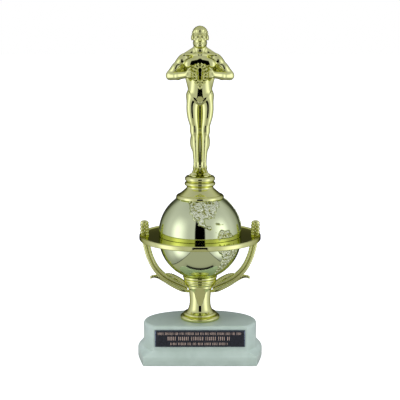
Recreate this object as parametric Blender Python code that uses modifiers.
"""Column trophy: a standing figure on a globe riser, over a weighted base with a name plate.

Everything is clamped on one threaded check rod. The row frame is +Z up, the figure faces -Y, and the origin
is on the rod's axis at the level of the base's underside. Sizes are in millimetres until the end, where mm()
turns them into Blender's metres.
"""

import math

import bmesh
import bpy
from mathutils import Matrix, Vector

# ---- driving dimensions, in millimetres ----
GAP = 0.3                      # clearance between touching pieces
ROD_R = 3.17                   # quarter-inch check rod
ROD_HOLE_R = 3.85
NUT_HALF_FLATS, NUT_BORE_R = 5.55, 3.5
BASE_TOP = 37.5
# plans of the upper block and the plinth; waist is where the plan is widest, bow how the sides draw in
BLOCK = dict(half=52.4, back=28.5, front=28.5, corner=43.0, waist=-6.5, bow=2.2)
PLINTH = dict(half=58.4, back=34.3, front=31.0, corner=52.3, waist=2.0, bow=1.2)
OVAL_POWER = 0.93              # below 1 makes the oval back fuller than an ellipse
BLOCK_FOOT = 21.0              # where the block's wall meets the ogee
FRONT_FOOT = 14.0              # the flat front and its corners run lower, down to here
PLINTH_TOP = 9.0
SHELL_WALL = 2.4
POCKET_TOP = 14.0              # roof of the weight's pocket for the nut and washers
PLATE = (82.5, 15.9, 0.6)      # 3 1/4 in by 5/8 in engraving plate
FELT_THICK = 1.6
RIM = 0.4                      # the shell's rim stands this far above the felt's underside
PLATE_Z = 26.4
GLOBE_R = 38.1                 # 3 in globe
GLOBE_WALL = 2.0
LOWER_CENTRE = 114.3
UPPER_CENTRE = 120.0
SHELF_BOTTOM, SHELF_TOP = 114.3, 117.0
BAND_BOTTOM, BAND_TOP, BAND_R = 113.4, 117.9, 56.2
STEM_TOP = 69.7
CAP_TOP = 167.0
FIGURE_BASE_TOP = 172.3
BRACKET_DEPTH = 5.0
ROUND_STEPS = 36

GOLD = ("gold", (0.80, 0.72, 0.34), 0.08, 1.0)
MARBLE = ("marble", (0.66, 0.71, 0.67), 0.45, 0.0)
PLASTER = ("plaster", (0.78, 0.76, 0.72), 0.9, 0.0)
FELT = ("felt", (0.05, 0.05, 0.05), 1.0, 0.0)
TAPE = ("tape", (0.85, 0.85, 0.80), 0.7, 0.0)
BLACK_BRASS = ("black_brass", (0.02, 0.02, 0.03), 0.2, 1.0)
STEEL = ("steel", (0.60, 0.61, 0.63), 0.35, 1.0)


def mm(*values):
    return Vector(values) * 0.001


def clear_scene():
    for obj in list(bpy.data.objects):
        bpy.data.objects.remove(obj)


def new_collection(name):
    made = bpy.data.collections.new(name)
    bpy.context.scene.collection.children.link(made)
    return made


def material(spec):
    name, colour, roughness, metallic = spec
    made = bpy.data.materials.get(name)
    if made is None:
        made = bpy.data.materials.new(name)
        made.use_nodes = True
        shader = made.node_tree.nodes["Principled BSDF"]
        shader.inputs["Base Color"].default_value = (*colour, 1.0)
        shader.inputs["Roughness"].default_value = roughness
        shader.inputs["Metallic"].default_value = metallic
    return made


def add_mesh(name, bm, spec, group):
    """Turns a bmesh in millimetres into a named object in metres."""
    bmesh.ops.transform(bm, matrix=Matrix.Scale(0.001, 4), verts=bm.verts)
    data = bpy.data.meshes.new(name)
    bm.to_mesh(data)
    bm.free()
    obj = bpy.data.objects.new(name, data)
    data.materials.append(material(spec))
    group.objects.link(obj)
    return obj


def shade_round(obj, angle=35):
    obj.data.shade_smooth()
    obj.data.set_sharp_from_angle(angle=math.radians(angle))


def turned(name, profile, spec, group, steps=ROUND_STEPS):
    """A solid turned about the rod's axis from (radius, height) points, down the outer side first.

    The profile closes on itself, unless it begins and ends on the axis.
    """
    bm = bmesh.new()
    points = [bm.verts.new((r, 0, z)) for r, z in profile]
    following = points[1:] if profile[0][0] == 0.0 else points[1:] + points[:1]
    for a, b in zip(points, following):
        bm.edges.new((a, b))
    obj = add_mesh(name, bm, spec, group)
    screw = obj.modifiers.new("turn", "SCREW")
    screw.steps = screw.render_steps = steps
    screw.use_merge_vertices = True
    screw.merge_threshold = 0.00001
    return obj


def cut(obj, cutter):
    hole = obj.modifiers.new("cut " + cutter.name, "BOOLEAN")
    hole.operation = "DIFFERENCE"
    hole.object = cutter


def as_cutter(obj):
    obj.hide_render = True
    obj.display_type = "WIRE"
    return obj


def arc(centre_r, centre_z, radius, start, end, count):
    """Points on a circular arc in the (radius, height) plane, angles in degrees from +radius."""
    angles = [math.radians(start + (end - start) * i / count) for i in range(count + 1)]
    return [(centre_r + radius * math.cos(a), centre_z + radius * math.sin(a)) for a in angles]


# ---- weighted base ----

def plan_outline(half, back, front, corner, waist, bow, round_off=2.0, back_count=28, side_count=5,
                 front_count=4):
    """The base seen from above: an oval back, sides that draw in and a flat front with rounded corners."""
    points = []
    for i in range(back_count + 1):
        turn = math.pi * i / back_count
        across, along = math.cos(turn), max(0.0, math.sin(turn))
        x = half * math.copysign(abs(across) ** OVAL_POWER, across)
        points.append(Vector((x, waist + (back - waist) * along**OVAL_POWER)))
    side = []
    length = front + waist
    for i in range(1, side_count + 1):
        run = (length - round_off) * i / side_count
        side.append(Vector((-(half - (half - corner) * (run / length) ** bow), waist - run)))
    sharp = Vector((-corner, -front))
    inner_end = Vector((-corner + round_off, -front))
    rounded = []
    for i in range(1, 5):
        t = i / 5
        rounded.append(side[-1] * (1 - t) ** 2 + sharp * 2 * t * (1 - t) + inner_end * t**2)
    half_front = [Vector((inner_end.x * (1 - 2 * i / front_count), -front)) for i in range(front_count + 1)]
    left = side + rounded
    right = [Vector((-p.x, p.y)) for p in reversed(left)]
    return points + left + half_front + right


def level(plan, z, inset=0.0):
    """One closed section of the base at height z, drawn inwards by inset."""
    drawn = dict(plan)
    for size in ("half", "back", "front", "corner"):
        drawn[size] -= inset
    return [Vector((p.x, p.y, z)) for p in plan_outline(**drawn)]


def blended(z, share):
    """The plan at height z in the moulding, from the block (share 0) to the plinth (share 1).

    The front and its corners step out last, below FRONT_FOOT.
    """
    front_share = max(0.0, (FRONT_FOOT - z) / (FRONT_FOOT - PLINTH_TOP))
    shares = {k: front_share if k in ("front", "corner") else share for k in BLOCK}
    return {k: BLOCK[k] + (PLINTH[k] - BLOCK[k]) * shares[k] for k in BLOCK}


def hole_ring(radius, z):
    """A circle with one point for each point of the plan outline, at the same bearings."""
    return [Vector((radius * p.x / p.length, radius * p.y / p.length, z)) for p in plan_outline(**BLOCK)]


def loft(name, sections, spec, group):
    """A closed ring-shaped solid through closed sections, the last joined to the first."""
    bm = bmesh.new()
    rings = [[bm.verts.new(p) for p in section] for section in sections]
    for upper, lower in zip(rings, rings[1:] + rings[:1]):
        count = len(upper)
        for i in range(count):
            j = (i + 1) % count
            bm.faces.new((upper[i], lower[i], lower[j], upper[j]))
    bmesh.ops.recalc_face_normals(bm, faces=bm.faces)
    return add_mesh(name, bm, spec, group)


def ogee(inset=0.0, drop=0.0):
    """Sections of the moulding that runs from the block's wall out to the plinth."""
    shape = [(0.0, 0.0), (0.12, 0.20), (0.38, 0.38), (0.70, 0.58), (0.90, 0.78), (1.0, 1.0)]
    rows = []
    for share, fall in shape:
        z = BLOCK_FOOT - fall * (BLOCK_FOOT - PLINTH_TOP)
        rows.append(level(blended(z, share), z - drop, inset))
    return rows


def base_shell(group):
    """Moulded stone-look shell, open below, with the rod hole in its top."""
    edge = 2.6
    top_round = []
    for angle in (90, 60, 30, 0):
        a = math.radians(angle)
        top_round.append(level(BLOCK, BASE_TOP - edge + edge * math.sin(a), edge - edge * math.cos(a)))
    ceiling = BASE_TOP - 2.6
    sections = [hole_ring(ROD_HOLE_R, BASE_TOP), *top_round, *ogee()]
    sections += [level(PLINTH, RIM + 0.8), level(PLINTH, RIM, 0.7), level(PLINTH, RIM, SHELL_WALL)]
    sections += list(reversed(ogee(SHELL_WALL, 1.2)))
    sections += [level(BLOCK, ceiling, SHELL_WALL), hole_ring(ROD_HOLE_R, ceiling)]
    obj = loft("base_shell", sections, MARBLE, group)
    shade_round(obj)


def base_weight(group):
    """Cast weight that fills the shell, with a pocket below for the nut and washers."""
    slack = SHELL_WALL + 0.4
    top = BASE_TOP - 2.6 - GAP
    bottom = FELT_THICK + GAP
    pocket_r = 11.0
    sections = [hole_ring(ROD_HOLE_R, top), level(BLOCK, top, slack)]
    sections += ogee(slack, 1.8)
    sections += [level(PLINTH, bottom, slack), hole_ring(pocket_r, bottom)]
    sections += [hole_ring(pocket_r, POCKET_TOP), hole_ring(ROD_HOLE_R, POCKET_TOP)]
    loft("base_weight", sections, PLASTER, group)


def felt_pad(group):
    """Thin pad inside the shell's rim, which closes the underside and which the trophy stands on."""
    slack = SHELL_WALL + 0.4
    bm = bmesh.new()
    outline = [bm.verts.new(p) for p in level(PLINTH, 0.0, slack)]
    face = bm.faces.new(outline)
    face.normal_update()
    grown = bmesh.ops.extrude_face_region(bm, geom=[face])
    risen = [v for v in grown["geom"] if isinstance(v, bmesh.types.BMVert)]
    bmesh.ops.translate(bm, verts=risen, vec=(0, 0, FELT_THICK))
    bmesh.ops.recalc_face_normals(bm, faces=bm.faces)
    add_mesh("felt_pad", bm, FELT, group)


def box(name, size, centre, spec, group):
    bm = bmesh.new()
    bmesh.ops.create_cube(bm, size=1.0)
    bmesh.ops.scale(bm, vec=size, verts=bm.verts)
    bmesh.ops.translate(bm, vec=centre, verts=bm.verts)
    return add_mesh(name, bm, spec, group)


def name_plate(group):
    """Engraving plate and the double-sided tape that holds it on the base's flat front."""
    width, height, thick = PLATE
    tape_thick, seat = 0.4, 0.2
    face = -BLOCK["front"]
    tape_y = face - seat - tape_thick / 2
    plate_y = tape_y - tape_thick / 2 - seat - thick / 2
    box("plate_tape", (width - 4, tape_thick, height - 3), (0, tape_y, PLATE_Z), TAPE, group)
    box("name_plate", (width, thick, height), (0, plate_y, PLATE_Z), BLACK_BRASS, group)


# ---- check rod and its fasteners ----

def rod_parts(group, cutters):
    turned("check_rod", tube_profile(0.0, ROD_R, 3.6, 171.0), STEEL, group, steps=24)
    washer_top = POCKET_TOP - GAP
    washer_low = washer_top - 1.3
    turned("flat_washer", tube_profile(3.6, 8.0, washer_low, washer_top), STEEL, group, steps=24)
    lock_low = washer_low - GAP - 1.5
    turned("lock_washer", tube_profile(3.6, 6.2, lock_low, washer_low - GAP), STEEL, group, steps=24)
    hex_nut("rod_nut", lock_low - GAP - 5.4, 5.4, group, cutters)
    hex_nut("figure_nut", CAP_TOP + 0.45, 3.5, group, cutters)


def tube_profile(inner, outer, low, high):
    """Section of a plain tube; an inner radius of 0 makes it solid."""
    if inner == 0.0:
        return [(0.0, high), (outer, high), (outer, low), (0.0, low)]
    return [(inner, high), (outer, high), (outer, low), (inner, low)]


def hex_prism(name, low, height, half_flats, group, spec=STEEL):
    corner = half_flats / math.cos(math.pi / 6)
    bm = bmesh.new()
    bmesh.ops.create_cone(bm, cap_ends=True, segments=6, radius1=corner, radius2=corner, depth=height)
    bmesh.ops.translate(bm, vec=(0, 0, low + height / 2), verts=bm.verts)
    return add_mesh(name, bm, spec, group)


def round_cutter(name, radius, low, high, group, segments=28):
    bm = bmesh.new()
    bmesh.ops.create_cone(
        bm, cap_ends=True, segments=segments, radius1=radius, radius2=radius, depth=high - low
    )
    bmesh.ops.translate(bm, vec=(0, 0, (low + high) / 2), verts=bm.verts)
    return as_cutter(add_mesh(name, bm, STEEL, group))


def hex_nut(name, low, height, group, cutters):
    nut = hex_prism(name, low, height, NUT_HALF_FLATS, group)
    cut(nut, round_cutter(name + " bore", NUT_BORE_R, low - 1, low + height + 1, cutters))


# ---- riser: stem, collar, globe, ring and cap ----

def stem(group):
    """Flared pedestal, hollow below, that carries the riser."""
    low = BASE_TOP + GAP
    outer = [
        (ROD_HOLE_R, STEM_TOP), (11.6, STEM_TOP), (11.5, 68.2), (10.7, 65.0), (10.1, 61.0),
        (9.75, 57.0), (9.75, 52.5), (10.3, 49.0), (11.5, 45.9), (13.1, 43.8), (13.6, 43.4),
        (14.9, 43.2), (15.6, 42.2), (15.2, 41.3), (16.6, 41.2), (18.0, 40.4), (18.4, 39.2), (18.2, low),
    ]
    inner = [
        (15.6, low), (13.2, 40.2), (10.2, 43.6), (8.2, 48.0), (7.8, 56.0),
        (8.6, 64.0), (8.6, STEM_TOP - 2.2), (ROD_HOLE_R, STEM_TOP - 2.2),
    ]
    shade_round(turned("stem", outer + inner, GOLD, group))


def on_sphere(radius, centre, r, below=False):
    """Height of a sphere about the axis at distance r from it."""
    rise = math.sqrt(radius**2 - r**2)
    return centre - rise if below else centre + rise


def collar(group):
    """Beaded cup that carries the lower half of the globe."""
    seat_r = GLOBE_R + 0.35
    outer = [
        (15.1, on_sphere(seat_r, LOWER_CENTRE, 15.1, True)), (15.8, 78.2), (15.9, 76.9), (15.3, 75.9),
        (14.7, 75.3), (15.0, 74.3), (14.7, 73.2), (13.7, 72.4), (13.4, 71.2), (12.4, STEM_TOP + GAP),
    ]
    inner = [(ROD_HOLE_R, STEM_TOP + GAP)]
    seat = [(r, on_sphere(seat_r, LOWER_CENTRE, r, True)) for r in (ROD_HOLE_R, 7.5, 11.5)]
    shade_round(turned("collar", outer + inner + seat, GOLD, group))


def dome_points(radius, centre, first, last, count):
    return arc(0.0, centre, radius, first, last, count)


def globe_lower(group):
    inner_r = GLOBE_R - GLOBE_WALL
    rim = -math.degrees(math.asin(GAP / GLOBE_R))
    outer = dome_points(GLOBE_R, LOWER_CENTRE, rim, -math.degrees(math.acos(ROD_HOLE_R / GLOBE_R)), 11)
    inner = dome_points(inner_r, LOWER_CENTRE, -math.degrees(math.acos(ROD_HOLE_R / inner_r)), rim, 6)
    shade_round(turned("globe_lower", outer + inner, GOLD, group))


def globe_upper(group):
    """Upper half of the globe, with a short straight skirt that stands on the ring's shelf."""
    inner_r = GLOBE_R - GLOBE_WALL
    low = SHELF_TOP + GAP
    outer = dome_points(GLOBE_R, UPPER_CENTRE, math.degrees(math.acos(ROD_HOLE_R / GLOBE_R)), 0, 11)
    inner = dome_points(inner_r, UPPER_CENTRE, 0, math.degrees(math.acos(ROD_HOLE_R / inner_r)), 7)
    skirt = [(GLOBE_R, low), (inner_r, low)]
    shade_round(turned("globe_upper", outer + skirt + inner, GOLD, group))


def equator_ring(group, cutters):
    """Flat ring between the two halves: a raised band round a shelf, with a lip that centres both halves."""
    outer = [
        (54.9, BAND_TOP), (55.8, BAND_TOP - 0.2), (56.2, BAND_TOP - 1.2), (BAND_R, BAND_BOTTOM + 1.2),
        (55.8, BAND_BOTTOM + 0.2), (54.9, BAND_BOTTOM), (54.4, BAND_BOTTOM + 0.3),
        (54.2, SHELF_BOTTOM), (35.6, SHELF_BOTTOM), (35.4, 112.0), (33.8, 112.0),
    ]
    inner = [(33.8, 119.4), (35.4, 119.4), (35.6, SHELF_TOP), (54.2, SHELF_TOP), (54.5, BAND_TOP - 0.4)]
    ring = turned("equator_ring", outer + inner, GOLD, group, steps=56)
    for side in (1, -1):
        slot_size = (7.4, BRACKET_DEPTH + 0.8, 12.0)
        name = "ring slot right" if side > 0 else "ring slot left"
        slot = box(name, slot_size, (side * 50.75, 0, 115.6), STEEL, cutters)
        cut(ring, as_cutter(slot))


def cap(group):
    """Platform on top of the globe: a rounded flange, a cone and the turned ring under the figure."""
    seat_r = GLOBE_R + 0.35
    flange = [(20.4, 155.0), (21.4, 154.4), (22.0, 153.3), (22.0, 152.3), (21.7, 151.95)]
    outer = [
        (ROD_HOLE_R, CAP_TOP), (12.6, CAP_TOP), (13.6, 166.2), (14.2, 165.0), (13.7, 163.9),
        (12.5, 163.0), (12.2, 161.6), (13.6, 160.2), (19.4, 155.1), *flange,
    ]
    seat = [(r, on_sphere(seat_r, UPPER_CENTRE, r)) for r in (21.2, 19.4, 17.6)]
    inner = [(16.8, 155.4), (9.6, 161.6), (9.6, CAP_TOP - 2.4), (ROD_HOLE_R, CAP_TOP - 2.4)]
    shade_round(turned("cap", outer + seat + inner, GOLD, group))


# ---- brackets at the two sides ----

BRACKET_OUTLINE = [
    # lower edge of the leaf, from the stem out to its curled tip
    (10.5, 60.9), (16.6, 62.6), (25.2, 67.1), (33.7, 73.0), (38.6, 75.8), (43.0, 76.5), (47.0, 76.0),
    (44.8, 79.3), (41.8, 80.9),
    # outer edge of the strap, up through the ring to the finial
    (43.0, 83.7), (46.2, 88.2), (49.2, 93.8), (51.6, 102.0), (52.8, 108.0), (53.6, 113.0), (53.8, 119.0),
    (54.9, 121.0), (55.0, 128.4), (53.4, 130.9), (51.1, 131.6), (48.8, 130.9), (47.3, 128.4), (47.4, 121.0),
    # inner edge back down to the inner leaf and the stem
    (47.9, 119.0), (47.8, 113.0), (47.1, 106.5), (44.4, 97.0), (40.8, 89.8), (36.4, 83.8), (30.8, 80.3),
    (25.7, 80.0), (21.0, 77.5), (17.3, 75.0), (16.4, 73.2), (15.3, 71.4), (13.6, 69.6), (11.9, 67.9),
    (11.1, 65.0),
]


def bracket(name, side, group):
    """Side bracket: a curved strap with leaves, which passes through the ring and ends in a finial."""
    curve = bpy.data.curves.new(name, "CURVE")
    curve.dimensions = "2D"
    curve.fill_mode = "BOTH"
    curve.extrude = BRACKET_DEPTH / 2 * 0.001
    spline = curve.splines.new("POLY")
    spline.points.add(len(BRACKET_OUTLINE) - 1)
    for point, (x, z) in zip(spline.points, BRACKET_OUTLINE):
        point.co = (side * x * 0.001, z * 0.001, 0, 1)
    spline.use_cyclic_u = True
    curve.materials.append(material(GOLD))
    obj = bpy.data.objects.new(name, curve)
    obj.rotation_euler = (math.radians(90), 0, 0)
    group.objects.link(obj)


# ---- figure ----

def ball(bm, centre, radii, segments=20, rings=12):
    made = bmesh.ops.create_uvsphere(bm, u_segments=segments, v_segments=rings, radius=1.0)
    bmesh.ops.scale(bm, vec=radii, verts=made["verts"])
    bmesh.ops.translate(bm, vec=centre, verts=made["verts"])


def limb(bm, start, end, r_start, r_end, segments=18):
    """A tapered limb with round ends."""
    start, end = Vector(start), Vector(end)
    along = end - start
    made = bmesh.ops.create_cone(
        bm, cap_ends=True, segments=segments, radius1=r_start, radius2=r_end, depth=along.length
    )
    turn = along.to_track_quat("Z", "Y").to_matrix().to_4x4()
    bmesh.ops.transform(bm, matrix=Matrix.Translation((start + end) / 2) @ turn, verts=made["verts"])
    ball(bm, start, (r_start,) * 3, segments)
    ball(bm, end, (r_end,) * 3, segments)


def figure(group):
    """The standing figure, arms bent to hold the wreath at its chest, fused from limbs and then softened."""
    bm = bmesh.new()
    ball(bm, (0, -0.9, 299.2), (7.2, 8.6, 9.3))
    ball(bm, (0, -3.2, 293.6), (5.3, 5.3, 4.9))
    limb(bm, (0, 0.8, 283.5), (0, -0.2, 294.0), 5.4, 5.0)
    limb(bm, (-13.5, 1.4, 280.6), (13.5, 1.4, 280.6), 3.6, 3.6)
    ball(bm, (0, 1.2, 283.0), (11.5, 5.0, 4.0))
    ball(bm, (0, 0.4, 273.0), (16.0, 9.0, 11.5))
    ball(bm, (0, 0.6, 258.0), (11.0, 7.6, 15.0))
    ball(bm, (0, 1.2, 243.0), (12.7, 8.8, 9.5))
    for side in (1, -1):
        ball(bm, (side * 18.2, 1.0, 277.2), (5.3, 5.6, 6.0))
        limb(bm, (side * 19.4, 0.8, 275.5), (side * 27.2, -0.6, 264.9), 4.6, 3.7)
        limb(bm, (side * 27.2, -1.2, 263.7), (side * 14.4, -9.6, 266.8), 3.8, 2.7)
        ball(bm, (side * 11.4, -11.3, 267.8), (2.9, 2.7, 4.2))
        limb(bm, (side * 6.3, 0.6, 239.0), (side * 4.9, -0.2, 216.5), 6.5, 4.5)
        limb(bm, (side * 4.8, 0.2, 216.5), (side * 4.7, 1.6, 204.5), 4.4, 4.8)
        limb(bm, (side * 4.7, 1.6, 204.5), (side * 3.3, 1.6, 184.0), 4.8, 2.8)
        limb(bm, (side * 3.4, 2.6, 176.0), (side * 6.2, -6.4, 175.2), 3.0, 2.4)
        limb(bm, (side * 3.3, 1.6, 184.0), (side * 3.4, 1.8, 176.2), 2.9, 3.2)
    obj = add_mesh("figure", bm, GOLD, group)
    fuse = obj.modifiers.new("fuse", "REMESH")
    fuse.mode = "VOXEL"
    fuse.voxel_size = 0.0008
    soften = obj.modifiers.new("soften", "SMOOTH")
    soften.iterations = 9
    thin = obj.modifiers.new("thin", "DECIMATE")
    thin.ratio = 0.075
    return obj


def wreath(group):
    """Oval wreath held in front of the chest, with a short tie below."""
    bpy.ops.mesh.primitive_torus_add(
        major_segments=28, minor_segments=10, major_radius=0.0057, minor_radius=0.0017,
        location=mm(0, -13.4, 265.8), rotation=(math.radians(90), 0, 0),
    )
    obj = bpy.context.active_object
    obj.name = "wreath"
    obj.scale = (1.0, 1.35, 1.0)
    obj.data.materials.append(material(GOLD))
    for owner in list(obj.users_collection):
        owner.objects.unlink(obj)
    group.objects.link(obj)


def figure_base(group, cutters):
    """Round disc under the figure, with a hexagonal pocket for its captive nut."""
    low = CAP_TOP + GAP
    profile = [
        (0.0, FIGURE_BASE_TOP), (12.4, FIGURE_BASE_TOP), (13.4, 171.6), (13.9, 170.2),
        (13.7, 168.8), (13.0, 167.7), (12.6, low), (0.0, low),
    ]
    disc = turned("figure_base", profile, GOLD, group)
    pocket = hex_prism("nut pocket", low - 1, 171.3 - low + 1, NUT_HALF_FLATS + 0.35, cutters)
    cut(disc, as_cutter(pocket))


def main():
    clear_scene()
    trophy = new_collection("column trophy")
    cutters = new_collection("cutters")
    base_shell(trophy)
    base_weight(trophy)
    felt_pad(trophy)
    name_plate(trophy)
    rod_parts(trophy, cutters)
    stem(trophy)
    collar(trophy)
    globe_lower(trophy)
    globe_upper(trophy)
    equator_ring(trophy, cutters)
    cap(trophy)
    bracket("bracket_right", 1, trophy)
    bracket("bracket_left", -1, trophy)
    figure(trophy)
    wreath(trophy)
    figure_base(trophy, cutters)


main()
